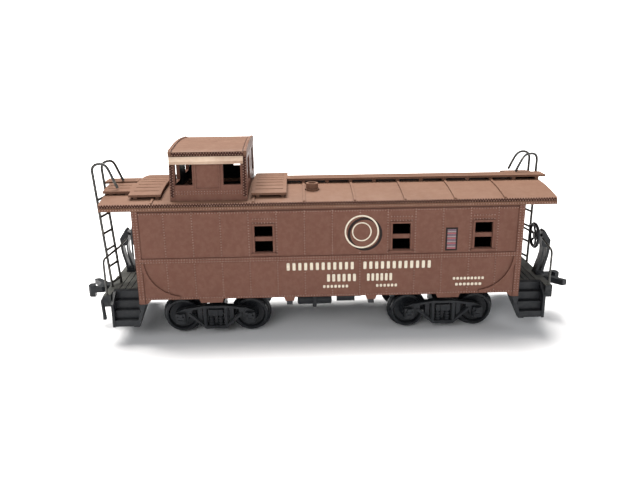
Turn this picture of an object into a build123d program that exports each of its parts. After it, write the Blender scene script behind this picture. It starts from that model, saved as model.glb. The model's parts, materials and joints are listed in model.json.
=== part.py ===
"""HO-gauge model caboose: body, roof, cupola, end platforms, trucks and couplers.

Millimetres. X runs along the car, Y across it, +Z up. The origin is midway between the trucks,
on the level of the wheel flanges' lowest points. Features with a "b" stand at the +X end, and those
with an "a" at the -X end, which is the cupola's end. Most end fittings repeat by a half turn about Z.
"""

from build123d import *
import os
from math import atan2, cos, hypot, radians, sin

os.makedirs("parts", exist_ok=True)

# Wheels and trucks
tread_radius = 4.8
flange_radius = 5.65
axle_height = flange_radius
wheel_back = 7.2  # track centre to the inner face of a wheel
flange_width = 0.75
wheel_width = 2.8
wheelbase = 19.3
truck_x = 31.9
axle_radius = 0.8
journal_radius = 0.55
running_clearance = 0.05
side_frame_inner = 10.8
side_frame_outer = 12.4
journal_face = 13.4

# Body
body_length = 103.2
body_width = 32.4
wall = 1.2
side_bottom = 12.9
skirt_bottom = 11.8
wall_top = 38.7
corner_strip = 1.6
belt_top = 24.6
belt_height = 1.3
trim = 0.22  # how far belts, frames and strips stand off the wall
bead_rise = 0.4
bolster_tab_x = 32.2
clip_x = 11.1

# Windows of one side
window_width = 4.8
window_bottom = 25.9
window_top = 33.1
window_x = (-17.55, 18.95, 40.95)
mullion_height = 1.15

# Roof
roof_length = 119.6
eave_half_width = 16.5
eave_bottom = 37.7
eave_top = 39.5
roof_crown = 41.4
rib_pitch = 13.2
rib_start = -6.7
rib_rise = 0.32
board_lift = 0.75  # clear height of the roof walks above the roof
board_thickness = 0.6
plank_width = 2.7
plank_groove = 0.3
plank_groove_depth = 0.22
plank_border = 0.9
end_board_end = 60.1
end_board_drop = 0.3

# Cupola
cupola_left = -41.4
cupola_right = -21.4
cupola_half_width = 15.1  # at the foot; the sides lean inward
cupola_top_half_width = 13.6
cupola_foot = 39.0
cupola_wall = 1.0
cupola_eave_bottom = 51.3
cupola_eave_top = 52.4
cupola_shoulder = 52.85
cupola_crown = 53.5

# Roof walks
running_half_width = 2.4
running_end = 61.6
walk_a = (-52.5, -44.1)
walk_b = (-20.5, -11.3)
walk_half_width = 13.8
end_board_reach = 10.3

# Floor and platforms
floor_bottom = 12.9
floor_top = 14.3
platform_start = 46.0
platform_half_width = 10.6
beam_inner = 59.5
beam_outer = 61.4
beam_half_width = 15.3
beam_bottom = 10.9

# Steps
step_inner_top = 50.0
step_inner_bottom = 52.2
step_outer = 59.4
step_front = 16.3
step_bottom = 5.3

# End fittings
ladder_radius = 0.36
rung_radius = 0.33
rung_pitch = 4.72
first_rung = 15.9
rail_spread = 3.8
railing_radius = 0.3
railing_height = 24.8
railing_foot_x = 60.5
railing_foot_y = 14.8
brake_y = 4.9
brake_stand_x_a = 58.7
brake_stand_x_b = 61.2
brake_shaft_height = 25.7
brake_shaft_radius = 0.4
brake_wheel_radius = 3.75

# Couplers
coupler_pivot_x = 55.6
coupler_pin_radius = 1.1
shank_bottom = 9.9
shank_top = 12.0
head_bottom = 10.2
head_top = 11.9
jaw_bottom = 8.9
jaw_top = 12.3


def save(builder, node):
    """Label a finished piece and write it as its own STEP file."""
    builder.part.label = node
    export_step(builder.part, f"parts/{node}.step")


def half_turn(builder):
    """The same piece at the other end of the car."""
    with BuildPart() as turned:
        add(builder.part, rotation=(0, 0, 180))
    return turned


def arch_height(y, half_width, edge, crown):
    """Height of a circular arch over y, from its edge height and its crown height."""
    rise = crown - edge
    radius = (half_width**2 + rise**2) / (2 * rise)
    return crown - radius + (radius**2 - y**2) ** 0.5


def roof_height(y):
    return arch_height(y, eave_half_width, eave_top, roof_crown)


def arch_band(x_from, x_to, y_from, y_to, lift, thickness):
    """A board that follows the roof's arch, lift above it, between two values of Y."""
    y_mid = (y_from + y_to) / 2
    with BuildPart() as band:
        with BuildSketch(Plane.YZ.offset(x_from)):
            with BuildLine():
                low = lift
                high = lift + thickness
                ThreePointArc(
                    (y_from, roof_height(y_from) + low),
                    (y_mid, roof_height(y_mid) + low),
                    (y_to, roof_height(y_to) + low),
                )
                Line((y_to, roof_height(y_to) + low), (y_to, roof_height(y_to) + high))
                ThreePointArc(
                    (y_to, roof_height(y_to) + high),
                    (y_mid, roof_height(y_mid) + high),
                    (y_from, roof_height(y_from) + high),
                )
                Line((y_from, roof_height(y_from) + high), (y_from, roof_height(y_from) + low))
            make_face()
        extrude(amount=x_to - x_from)
    return band.part


# --- Body shell -----------------------------------------------------------------------------------


def side_outline():
    """Outline of one side wall in X and Z, with corner skirts, bolster tabs and clip tabs."""
    half = body_length / 2
    drop = side_bottom - skirt_bottom
    skirt = 2.2
    points = [(-half, wall_top), (-half, skirt_bottom), (-half + skirt, skirt_bottom)]
    points += [(-half + skirt + drop, side_bottom)]
    for centre, reach in ((-bolster_tab_x, 2.9), (-clip_x, 1.1), (clip_x, 1.1), (bolster_tab_x, 2.9)):
        points += [(centre - reach - 0.4, side_bottom), (centre - reach, skirt_bottom)]
        points += [(centre + reach, skirt_bottom), (centre + reach + 0.4, side_bottom)]
    points += [(half - skirt - drop, side_bottom), (half - skirt, skirt_bottom)]
    points += [(half, skirt_bottom), (half, wall_top)]
    return points


def corner_bead(toward):
    """Curved bead in a lower corner of a side wall."""
    width = 0.8
    foot = side_bottom + 0.2
    start = 50.3 * toward
    top = belt_top - 1.2
    with BuildSketch() as bead:
        with BuildLine():
            ThreePointArc((start, top), (47.4 * toward, 16.5), (40.5 * toward, foot))
            Line((40.5 * toward, foot), (40.5 * toward, foot + width))
            ThreePointArc(
                (40.5 * toward, foot + width), (46.75 * toward, 17.1), (start - width * toward, top)
            )
            Line((start - width * toward, top), (start, top))
        make_face()
    return bead.sketch


def build_body():
    window_height = window_top - window_bottom
    window_z = (window_top + window_bottom) / 2
    half = body_length / 2
    with BuildPart() as body:
        for toward in (-1, 1):
            side = Plane.XZ.offset(-toward * body_width / 2)
            out = -toward
            with BuildSketch(side):
                with BuildLine():
                    Polyline(*side_outline(), close=True)
                make_face()
            extrude(amount=-out * wall)
            with BuildSketch(side):
                with Locations((0, belt_top - belt_height / 2)):
                    Rectangle(body_length - 2 * corner_strip, belt_height)
                strip_height = eave_bottom - skirt_bottom
                for end in (-1, 1):
                    strip_x = end * (body_length - corner_strip) / 2
                    with Locations((strip_x, skirt_bottom + strip_height / 2)):
                        Rectangle(corner_strip, strip_height)
            extrude(amount=out * trim)
            for end in (-1, 1):
                with BuildSketch(side):
                    add(corner_bead(end))
                extrude(amount=out * bead_rise)
            with BuildSketch(side):
                for x in window_x:
                    with Locations((x, window_z)):
                        Rectangle(window_width + 1.1, window_height + 1.1)
            extrude(amount=out * trim)
            with BuildSketch(side):
                for x in window_x:
                    with Locations((x, window_bottom - 0.5)):
                        Rectangle(window_width + 1.7, 0.55)
            extrude(amount=out * 2 * trim)
        # End walls stop above the platforms' tongues.
        for end in (-1, 1):
            with BuildSketch(Plane.YZ.offset(end * half)):
                wall_bottom = floor_top + 0.1
                with Locations((0, (wall_bottom + wall_top) / 2)):
                    Rectangle(body_width, wall_top - wall_bottom)
            extrude(amount=-end * wall)
            # Door frame
            with BuildSketch(Plane.YZ.offset(end * half)):
                with Locations((0, 26.0)):
                    Rectangle(9.4, 20.0)
                with Locations((0, 25.6)):
                    Rectangle(7.6, 19.2, mode=Mode.SUBTRACT)
            extrude(amount=end * trim)
            with BuildSketch(Plane.YZ.offset(end * half)):
                with Locations((0, 30.4)):
                    Rectangle(3.6, 6.4)
                with Locations((-10.4, 30.4), (10.4, 30.4)):
                    Rectangle(3.6, 6.4)
            extrude(amount=-end * wall, mode=Mode.SUBTRACT)
        # Window openings through both sides, then a rail across the middle of each.
        with BuildSketch(Plane.XZ):
            for x in window_x:
                with Locations((x, window_z)):
                    Rectangle(window_width, window_height)
        extrude(amount=body_width, both=True, mode=Mode.SUBTRACT)
        for toward in (-1, 1):
            for x in window_x:
                rail_y = toward * (body_width / 2 - 0.6)
                with Locations((x, rail_y, window_z)):
                    Box(window_width, 0.8, mullion_height)
    save(body, "body_shell")


# --- Roof -----------------------------------------------------------------------------------------


def roof_face(half_width, bottom, edge, crown):
    """Area under an arch, closed by two short sides."""
    with BuildSketch() as face:
        with BuildLine():
            Polyline((-half_width, edge), (-half_width, bottom), (half_width, bottom), (half_width, edge))
            ThreePointArc((half_width, edge), (0, crown), (-half_width, edge))
        make_face()
    return face.sketch


def build_roof():
    lip = 0.3
    skin = 1.1
    with BuildPart() as roof:
        with BuildSketch(Plane.YZ.offset(-roof_length / 2)):
            add(roof_face(eave_half_width, eave_bottom, eave_top, roof_crown))
        extrude(amount=roof_length)
        # Drip strip: the lower half of the fascia stands out as a ledge.
        ledge = (eave_top + eave_bottom) / 2
        for toward in (-1, 1):
            with BuildSketch(Plane.XY.offset(eave_bottom)):
                with Locations((0, toward * (eave_half_width + lip / 2))):
                    Rectangle(roof_length, lip)
            extrude(amount=ledge - eave_bottom)
        # Hollow underneath; the side walls' tops seat against the flat ledges.
        with BuildSketch(Plane.YZ.offset(-roof_length / 2)):
            add(roof_face(15.0, eave_bottom - 1, wall_top, roof_crown - skin))
        extrude(amount=roof_length, mode=Mode.SUBTRACT)
        with BuildSketch(Plane.XY.offset(eave_bottom - 1)):
            Rectangle(roof_length + 1, body_width + 0.1)
        extrude(amount=wall_top - eave_bottom + 1, mode=Mode.SUBTRACT)
        # Opening under the cupola
        cupola_length = cupola_right - cupola_left
        with BuildSketch(Plane.XY.offset(eave_bottom)):
            with Locations(((cupola_left + cupola_right) / 2, 0)):
                Rectangle(cupola_length - 3, 2 * cupola_half_width - 3)
        extrude(amount=10, mode=Mode.SUBTRACT)
        # Cross ribs, broken under the running board and the cupola
        ribs = [rib_start + rib_pitch * k for k in range(-3, 5)]
        for x in ribs:
            if cupola_left - 1 < x < cupola_right + 1:
                continue
            for toward in (-1, 1):
                edges = sorted((toward * 3.0, toward * (eave_half_width - 0.05)))
                add(arch_band(x - 0.3, x + 0.3, edges[0], edges[1], -0.1, rib_rise + 0.1))
    save(roof, "roof")


def cupola_roof_face(half_width, rise):
    """Section of the cupola's roof: nearly flat on top, with rounded shoulders."""
    shoulder_y = half_width - 3.0
    edge = cupola_eave_top + rise
    shoulder = cupola_shoulder + rise
    bend = (half_width - 0.8, (edge + 2 * shoulder) / 3)
    with BuildSketch() as face:
        with BuildLine():
            Polyline(
                (-half_width, edge),
                (-half_width, cupola_eave_bottom),
                (half_width, cupola_eave_bottom),
                (half_width, edge),
            )
            ThreePointArc((half_width, edge), bend, (shoulder_y, shoulder))
            ThreePointArc((shoulder_y, shoulder), (0, cupola_crown + rise), (-shoulder_y, shoulder))
            ThreePointArc((-shoulder_y, shoulder), (-bend[0], bend[1]), (-half_width, edge))
        make_face()
    return face.sketch


def cupola_wall_face(inset):
    """Section across the cupola's leaning sides, drawn in by inset."""
    foot = cupola_half_width - inset
    top = cupola_top_half_width - inset
    with BuildSketch() as face:
        with BuildLine():
            Polyline(
                (-foot, cupola_foot),
                (foot, cupola_foot),
                (top, cupola_eave_bottom),
                (-top, cupola_eave_bottom),
                close=True,
            )
        make_face()
    return face.sketch


def cupola_side_trim():
    """Corner strips and the blind panel's frame, raised on both leaning sides."""
    lean = atan2(cupola_half_width - cupola_top_half_width, cupola_eave_bottom - cupola_foot)
    side = Plane(
        origin=(0, -cupola_half_width, cupola_foot),
        x_dir=(1, 0, 0),
        z_dir=(0, -cos(lean), sin(lean)),
    )
    depth = 0.2
    with BuildPart() as trim:
        with BuildSketch(side.offset(-depth)):
            with Locations((-31.65, 46.4 - cupola_foot)):
                Rectangle(6.6, 7.4)
                Rectangle(5.8, 6.6, mode=Mode.SUBTRACT)
            for x in (cupola_left + 0.6, cupola_right - 0.6):
                with Locations((x, 45.8 - cupola_foot)):
                    Rectangle(1.2, 11.0)
        extrude(amount=depth + 0.15)
        mirror(about=Plane.XZ)
    return trim.part


def build_cupola():
    length = cupola_right - cupola_left
    opening_bottom = 43.9
    opening_top = 50.3
    with BuildPart() as shell:
        with BuildSketch(Plane.YZ.offset(cupola_left)):
            add(cupola_wall_face(0))
        extrude(amount=length)
        add(cupola_side_trim())
        with BuildSketch(Plane.YZ.offset(cupola_left + cupola_wall)):
            add(cupola_wall_face(cupola_wall))
        extrude(amount=length - 2 * cupola_wall, mode=Mode.SUBTRACT)
        # The foot follows the roof.
        with BuildSketch(Plane.YZ.offset(cupola_left - 1)):
            add(roof_face(eave_half_width, eave_bottom, eave_top, roof_crown))
        extrude(amount=length + 2, mode=Mode.SUBTRACT)
        # Side openings, with a blind panel between them
        with BuildSketch(Plane.XZ):
            for x in (-37.75, -25.3):
                with Locations((x, (opening_bottom + opening_top) / 2)):
                    Rectangle(4.5, opening_top - opening_bottom)
        extrude(amount=20, both=True, mode=Mode.SUBTRACT)
        # End openings
        with BuildSketch(Plane.YZ):
            with Locations((-7.3, 46.9), (7.3, 46.9)):
                Rectangle(6.0, 6.6)
        extrude(amount=60, dir=(-1, 0, 0), mode=Mode.SUBTRACT)
    save(shell, "cupola_shell")

    overhang = 0.1
    eave = cupola_top_half_width + overhang
    with BuildPart() as top:
        with BuildSketch(Plane.YZ.offset(cupola_left - overhang)):
            add(cupola_roof_face(eave, 0))
        extrude(amount=length + 2 * overhang)
        for x in (cupola_left - overhang, cupola_right + overhang - 0.8):
            with BuildSketch(Plane.YZ.offset(x)):
                add(cupola_roof_face(eave + 0.1, 0.15))
            extrude(amount=0.8)
        # Hollow underneath
        with BuildSketch(Plane.XY.offset(cupola_eave_bottom)):
            with Locations(((cupola_left + cupola_right) / 2, 0)):
                Rectangle(length - 2 * cupola_wall, 2 * (cupola_top_half_width - cupola_wall))
        extrude(amount=0.8, mode=Mode.SUBTRACT)
    save(top, "cupola_roof")

    for name, toward in (("cupola_visor_right", -1), ("cupola_visor_left", 1)):
        inner = toward * (cupola_top_half_width + 0.27)
        outer = inner + toward
        with BuildPart() as visor:
            with BuildSketch(Plane.YZ.offset(cupola_left + 0.15)):
                with BuildLine():
                    Polyline(
                        (inner, 51.25),
                        (inner, 50.55),
                        (outer - toward * 0.35, 49.35),
                        (outer, 49.45),
                        (outer - toward * 0.15, 50.1),
                        close=True,
                    )
                make_face()
            extrude(amount=length - 1.0)
        save(visor, name)


def plank_grooves(x_from, x_to, y_from, y_to, top):
    """Cuts along X that part an arched board into planks; top is its upper face's height above the roof."""
    planks = round((y_to - y_from) / plank_width)
    pitch = (y_to - y_from) / planks
    with BuildPart() as grooves:
        for k in range(1, planks):
            y = y_from + pitch * k
            low = y - plank_groove / 2
            high = y + plank_groove / 2
            lift = top - plank_groove_depth
            add(arch_band(x_from + plank_border, x_to - plank_border, low, high, lift, 0.5))
    return grooves.part


def build_roof_walks():
    """Boards on the roof; each stands on small feet."""
    gap = board_lift
    board_top = gap + board_thickness
    for name, (x_from, x_to) in (("lateral_walk_a", walk_a), ("lateral_walk_b", walk_b)):
        reach = walk_half_width
        with BuildPart() as walk:
            add(arch_band(x_from, x_to, -reach, reach, gap, board_thickness))
            for x in (x_from + 1.2, x_to - 1.5):
                for y in (-reach + 0.6, -reach / 2, reach / 2 - 0.8, reach - 1.4):
                    add(arch_band(x, x + 0.8, y, y + 0.8, 0.0, gap + 0.1))
            add(plank_grooves(x_from, x_to, -reach, reach, board_top), mode=Mode.SUBTRACT)
        save(walk, name)

    board_z = roof_crown + gap + 0.05
    spans = (
        ("running_board_long", walk_b[1] + 0.05, running_end),
        ("running_board_short", -running_end, walk_a[0] - 0.05),
    )
    for name, x_from, x_to in spans:
        with BuildPart() as board:
            with BuildSketch(Plane.XY.offset(board_z)):
                with Locations(((x_from + x_to) / 2, 0)):
                    Rectangle(x_to - x_from, 2 * running_half_width)
            extrude(amount=board_thickness)
            saddles = [rib_start + rib_pitch / 2 * k for k in range(-8, 11)]
            for x in saddles:
                if x_from + 0.5 < x < x_to - 0.5:
                    add(arch_band(x - 0.5, x + 0.5, -2.2, 2.2, 0.0, gap + 0.1))
            # Two grooves part the board into three planks
            with BuildSketch(Plane.XY.offset(board_z + board_thickness - plank_groove_depth)):
                for y in (-running_half_width / 3, running_half_width / 3):
                    with Locations(((x_from + x_to) / 2, y)):
                        Rectangle(x_to - x_from - 2 * plank_border, plank_groove)
            extrude(amount=1, mode=Mode.SUBTRACT)
        save(board, name)

    with BuildPart() as end_board_b:
        x_from = -walk_a[0] + 0.05
        y_from = running_half_width + 0.05
        low_gap = gap - end_board_drop
        add(arch_band(x_from, end_board_end, y_from, end_board_reach, low_gap, board_thickness))
        for x in (x_from + 0.85, end_board_end - 2.5):
            for y in (y_from + 0.3, end_board_reach - 1.2):
                add(arch_band(x, x + 0.9, y, y + 0.9, 0.0, low_gap + 0.1))
        low_top = low_gap + board_thickness
        grooves = plank_grooves(x_from, end_board_end, y_from, end_board_reach, low_top)
        add(grooves, mode=Mode.SUBTRACT)
    save(end_board_b, "roof_end_board_b")
    save(half_turn(end_board_b), "roof_end_board_a")


def build_smoke_jack():
    centre = (-4.45, -8.0)
    with BuildPart() as jack:
        with BuildSketch(Plane.XY.offset(39.5)):
            with Locations(centre):
                Circle(1.65)
        extrude(amount=42.7 - 39.5)
        with BuildSketch(Plane.XY.offset(39.5)):
            with Locations(centre):
                Circle(1.95)
        extrude(amount=1.75)
        with BuildSketch(Plane.XY.offset(42.3)):
            with Locations(centre):
                Circle(1.1)
        extrude(amount=1, mode=Mode.SUBTRACT)
        with BuildSketch(Plane.YZ.offset(-8)):
            add(roof_face(eave_half_width, eave_bottom, eave_top, roof_crown))
        extrude(amount=8, mode=Mode.SUBTRACT)
    save(jack, "smoke_jack")


# --- Floor ----------------------------------------------------------------------------------------


def build_floor():
    half_width = body_width / 2 - wall - 0.1
    with BuildPart() as floor:
        with BuildSketch(Plane.XY.offset(floor_bottom)):
            Rectangle(2 * platform_start - 0.1, 2 * half_width)
        extrude(amount=floor_top - floor_bottom)
        with BuildSketch(Plane.XY.offset(11.6)):
            Rectangle(2 * platform_start - 0.1, 4.4)
            with Locations((-truck_x, 0), (truck_x, 0)):
                Circle(3.6)
        extrude(amount=floor_bottom - 11.6)
        with BuildSketch(Plane.XY.offset(9.55)):
            with Locations((-truck_x, 0), (truck_x, 0)):
                Circle(2.8)
        extrude(amount=11.6 - 9.55)
        # Cross bearers
        with BuildSketch(Plane.XY.offset(11.9)):
            for x in (-17.0, -clip_x, clip_x, 17.0):
                with Locations((x, 0)):
                    Rectangle(1.0, 2 * half_width)
        extrude(amount=floor_bottom - 11.9)
        # Clips that pass down inside the walls and hook under the side posts
        for toward in (-1, 1):
            for x in (-clip_x, clip_x):
                with Locations((x, toward * (half_width - 0.45), 11.9)):
                    Box(1.6, 0.9, 2.4)
                with Locations((x, toward * (half_width + 0.1), 11.2)):
                    Box(1.6, 2.0, 1.1)
        with BuildSketch(Plane.XY.offset(9)):
            with Locations((-truck_x, 0), (truck_x, 0)):
                Circle(1.22)
        extrude(amount=4.2, mode=Mode.SUBTRACT)
    save(floor, "underframe")

    with BuildPart() as weight:
        with BuildSketch(Plane.XY.offset(floor_top)):
            Rectangle(78, 20)
        extrude(amount=2.0)
        fillet(weight.edges().filter_by(Axis.Z), 1.5)
    save(weight, "ballast_weight")

    with BuildPart() as reservoir:
        with BuildSketch(Plane.YZ.offset(-9.0)):
            with Locations((-10.0, 10.1)):
                Circle(1.75)
        extrude(amount=9.6)
        fillet(reservoir.edges().filter_by(GeomType.CIRCLE), 0.5)
        with Locations((-4.2, -10.0, 10.2)):
            Box(1.0, 3.9, 3.9)
        with Locations((-4.2, -10.0, 12.4)):
            Box(1.0, 2.4, 1.0)
        with Locations((-4.2, -10.0, 8.0)):
            Cylinder(0.6, 1.0)
    save(reservoir, "air_reservoir")

    with BuildPart() as cylinder:
        with BuildSketch(Plane.YZ.offset(2.0)):
            with Locations((-10.0, 10.9)):
                Circle(1.8)
        extrude(amount=5.0)
        with BuildSketch(Plane.YZ.offset(7.0)):
            with Locations((-10.0, 10.9)):
                Circle(0.6)
        extrude(amount=1.8)
        with Locations((3.4, -10.0, 12.3)):
            Box(1.2, 2.4, 1.2)
        with Locations((5.8, -10.0, 12.3)):
            Box(1.2, 2.4, 1.2)
    save(cylinder, "brake_cylinder")


# --- End platforms (drawn at the +X end) ----------------------------------------------------------


def build_platforms():
    pocket_start = 51.9
    pocket_end = 62.8
    pocket_half = 4.0
    cavity_half = 3.3
    cavity_bottom = shank_bottom - 0.1
    cavity_top = shank_top + 0.1
    tongue_half = body_width / 2 - wall - 0.1
    plank_gap = 0.22
    plank_pitch = 1.62
    with BuildPart() as platform_b:
        with BuildSketch(Plane.XY.offset(floor_bottom)):
            inside = body_length / 2 - wall - 0.1 - platform_start
            with Locations((platform_start + inside / 2, 0)):
                Rectangle(inside, 2 * tongue_half)
            with Locations(((platform_start + beam_outer) / 2, 0)):
                Rectangle(beam_outer - platform_start, 2 * platform_half_width)
        extrude(amount=floor_top - floor_bottom)
        # Grooves between the planks
        with BuildSketch(Plane.XY.offset(floor_top - 0.25)):
            for k in range(1, 6):
                with Locations((body_length / 2 + 0.2 + plank_pitch * k, 0)):
                    Rectangle(plank_gap, 2 * platform_half_width + 1)
        extrude(amount=1, mode=Mode.SUBTRACT)
        # End beam
        with BuildSketch(Plane.XY.offset(beam_bottom)):
            with Locations(((beam_inner + beam_outer) / 2, 0)):
                Rectangle(beam_outer - beam_inner, 2 * beam_half_width)
        extrude(amount=floor_top - beam_bottom)
        # Coupler pocket, open at the front and closed below by its cover plate
        with BuildSketch(Plane.XY.offset(cavity_bottom)):
            with Locations(((pocket_start + pocket_end) / 2, 0)):
                Rectangle(pocket_end - pocket_start, 2 * pocket_half)
        extrude(amount=floor_bottom - cavity_bottom)
        with BuildSketch(Plane.XY.offset(cavity_bottom)):
            with Locations(((pocket_start + pocket_end + 2) / 2, 0)):
                Rectangle(pocket_end - pocket_start - 1.6 + 2, 2 * cavity_half)
        extrude(amount=cavity_top - cavity_bottom, mode=Mode.SUBTRACT)
        with BuildSketch(Plane.XY.offset(cavity_bottom)):
            with Locations((coupler_pivot_x, 0)):
                Circle(coupler_pin_radius)
        extrude(amount=floor_bottom - cavity_bottom)
        # Bore for the pocket's screw
        with BuildSketch(Plane.XY.offset(cavity_bottom)):
            with Locations((coupler_pivot_x, 0)):
                Circle(0.5)
        extrude(amount=2.8, mode=Mode.SUBTRACT)
    save(platform_b, "end_platform_b")
    save(half_turn(platform_b), "end_platform_a")

    with BuildPart() as cover_b:
        with BuildSketch(Plane.XY.offset(cavity_bottom - 0.7)):
            with Locations(((pocket_start + pocket_end) / 2, 0)):
                Rectangle(pocket_end - pocket_start, 2 * pocket_half)
            with Locations((coupler_pivot_x, 0)):
                Circle(0.55, mode=Mode.SUBTRACT)
        extrude(amount=0.7)
    save(cover_b, "coupler_cover_b")
    save(half_turn(cover_b), "coupler_cover_a")

    with BuildPart() as screws:
        for end in (-1, 1):
            head_plane = Plane.XY.offset(cavity_bottom - 1.4)
            with BuildSketch(head_plane):
                with Locations((end * coupler_pivot_x, 0)):
                    Circle(1.2)
            extrude(amount=0.7)
            with BuildSketch(head_plane):
                with Locations((end * coupler_pivot_x, 0)):
                    Circle(0.5)
            extrude(amount=3.4)
            with BuildSketch(head_plane):
                with Locations((end * coupler_pivot_x, 0)):
                    Rectangle(2.6, 0.4)
            extrude(amount=0.3, mode=Mode.SUBTRACT)
    save(screws, "coupler_cover_screws")


def build_coupler():
    pivot = coupler_pivot_x
    with BuildPart() as coupler_b:
        with BuildSketch(Plane.XY.offset(shank_bottom)):
            with Locations((pivot, 0)):
                Circle(2.3)
            with Locations((pivot + 5.0, 0)):
                Rectangle(10.0, 3.0)
        extrude(amount=shank_top - shank_bottom)
        with BuildSketch(Plane.XY.offset(shank_bottom)):
            with Locations((pivot, 0)):
                Circle(coupler_pin_radius + running_clearance)
        extrude(amount=5, mode=Mode.SUBTRACT)
        # Head: a thin arm that bends round to one side and ends in a taller jaw
        with BuildSketch(Plane.XY.offset(head_bottom)):
            with BuildLine():
                Polyline(
                    (pivot + 8.4, -1.5),
                    (pivot + 10.0, -2.2),
                    (pivot + 11.1, -1.3),
                    (pivot + 11.1, 1.1),
                    (pivot + 12.2, 1.3),
                    (pivot + 12.2, 2.7),
                    (pivot + 10.0, 2.7),
                    (pivot + 8.4, 1.5),
                    close=True,
                )
            make_face()
        extrude(amount=head_top - head_bottom)
        with BuildSketch(Plane.XY.offset(jaw_bottom)):
            with BuildLine():
                Polyline(
                    (pivot + 12.1, 1.3),
                    (pivot + 12.7, 0.1),
                    (pivot + 14.0, 0.4),
                    (pivot + 14.0, 2.2),
                    (pivot + 13.4, 2.7),
                    (pivot + 12.1, 2.7),
                    close=True,
                )
            make_face()
        extrude(amount=jaw_top - jaw_bottom)
        # Slanting horn on the other side
        with BuildSketch(Plane.XY.offset(head_bottom)):
            with BuildLine():
                Polyline(
                    (pivot + 9.2, -1.6),
                    (pivot + 12.9, -5.3),
                    (pivot + 14.3, -4.7),
                    (pivot + 11.0, -1.0),
                    close=True,
                )
            make_face()
        extrude(amount=head_top - head_bottom)
    save(coupler_b, "coupler_b")
    save(half_turn(coupler_b), "coupler_a")


def build_steps():
    """Four step units: treads and risers between two side plates."""
    top_y = platform_half_width + 0.05
    lip_y = 12.4
    levels = (floor_top, 11.9, 9.5, 7.1)
    depth = (step_front - 0.2 - lip_y) / 3
    plate = 0.7
    stairs = [(top_y, levels[0])]
    for k, level in enumerate(levels):
        stairs += [(lip_y + depth * k, level)]
        below = levels[k + 1] if k < 3 else step_bottom
        stairs += [(lip_y + depth * k, below)]
    stairs += [(lip_y + 2 * depth, step_bottom), (top_y, 10.2)]
    side = [(top_y, floor_top), (lip_y + 0.3, floor_top), (step_front, 11.9)]
    side += [(step_front, step_bottom - 0.1), (lip_y + 2 * depth, step_bottom - 0.1), (top_y, 10.0)]
    x_start = body_length / 2 + 0.3
    x_low = step_inner_top - 0.3

    def step_unit(mirrored):
        sign = -1 if mirrored else 1
        with BuildPart() as unit:
            with BuildSketch(Plane.YZ.offset(x_low)):
                with BuildLine():
                    Polyline(*[(sign * y, z) for y, z in stairs], close=True)
                make_face()
            extrude(amount=step_outer - x_low)
            for x in (x_low, step_outer - plate):
                with BuildSketch(Plane.YZ.offset(x)):
                    with BuildLine():
                        Polyline(*[(sign * y, z) for y, z in side], close=True)
                    make_face()
                extrude(amount=plate if x > x_low else 4.0)
            # The inner plate leans; it clears the body's skirt and end wall.
            with BuildSketch(Plane.XZ):
                with BuildLine():
                    Polyline(
                        (x_low - 1, 15),
                        (x_start, 15),
                        (x_start, skirt_bottom - 0.1),
                        (step_inner_top, skirt_bottom - 0.1),
                        (step_inner_bottom, step_bottom - 0.2),
                        (x_low - 1, step_bottom - 0.2),
                        close=True,
                    )
                make_face()
            extrude(amount=30, both=True, mode=Mode.SUBTRACT)
            # Open the treads above the leaning plate
            for k in range(3):
                low = levels[k + 1]
                back = lip_y + depth * k
                with BuildSketch(Plane.XZ.offset(-sign * back)):
                    with BuildLine():
                        lean = (step_inner_bottom - step_inner_top) / (skirt_bottom - step_bottom)
                        edge = step_inner_top + plate + lean * (skirt_bottom - low)
                        edge_top = step_inner_top + plate + lean * (skirt_bottom - low - 2.4)
                        Polyline(
                            (edge, low),
                            (step_outer - plate, low),
                            (step_outer - plate, low + 2.4),
                            (max(edge_top, x_start), low + 2.4),
                            close=True,
                        )
                    make_face()
                extrude(amount=-sign * 6, mode=Mode.SUBTRACT)
        return unit

    near_b = step_unit(True)
    far_b = step_unit(False)
    save(near_b, "steps_b_right")
    save(far_b, "steps_b_left")
    save(half_turn(near_b), "steps_a_left")
    save(half_turn(far_b), "steps_a_right")


def build_ladder(name, end, twist, base_x, lean, peak, reaches, tilt):
    """Ladder from a platform to the roof; its rails bend over on to the roof's boards.

    twist turns it in plan and lean carries it outward over its height. peak is the height of the
    bends, and reaches says how far inward each rail comes down. tilt sets the rungs askew.
    """
    centre_y = 7.0
    landings = (2.0, 8.9)
    top = peak - 2.3
    rails = []
    for hand in (-1, 1):
        x = base_x + hand * rail_spread / 2 * sin(radians(twist))
        y = centre_y + hand * rail_spread / 2 * cos(radians(twist))
        rails.append((x, y))
    with BuildPart() as ladder:
        for (x, y), landing_y, reach in zip(rails, landings, reaches):
            if landing_y > running_half_width:
                landing = roof_height(landing_y) + board_lift + board_thickness + 0.14
            else:
                landing = roof_crown + board_lift + board_thickness + 0.19
            shoulder = reach / 3
            with BuildLine() as path:
                foot = Line((x, y, floor_top), (x + lean, y, top))
                Spline(
                    foot @ 1,
                    (x + lean - shoulder, (3 * y + landing_y) / 4, peak),
                    (x + lean - reach, landing_y, landing),
                    tangents=(foot % 1, (-0.45, 0, -1)),
                )
            with BuildSketch(Plane(origin=path.line @ 0, z_dir=path.line % 0)):
                Circle(ladder_radius)
            sweep(path=path.line)
        for k in range(6):
            height = first_rung + rung_pitch * k
            shift = lean * (height - floor_top) / (top - floor_top)
            (x1, y1), (x2, y2) = rails
            start = Vector(x1 + shift, y1, height)
            run = Vector(x2 - x1, y2 - y1, -tilt)
            with BuildSketch(Plane(origin=start, z_dir=run)):
                Circle(rung_radius)
            extrude(amount=run.length)
    if end < 0:
        save(half_turn(ladder), name)
    else:
        save(ladder, name)


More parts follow.
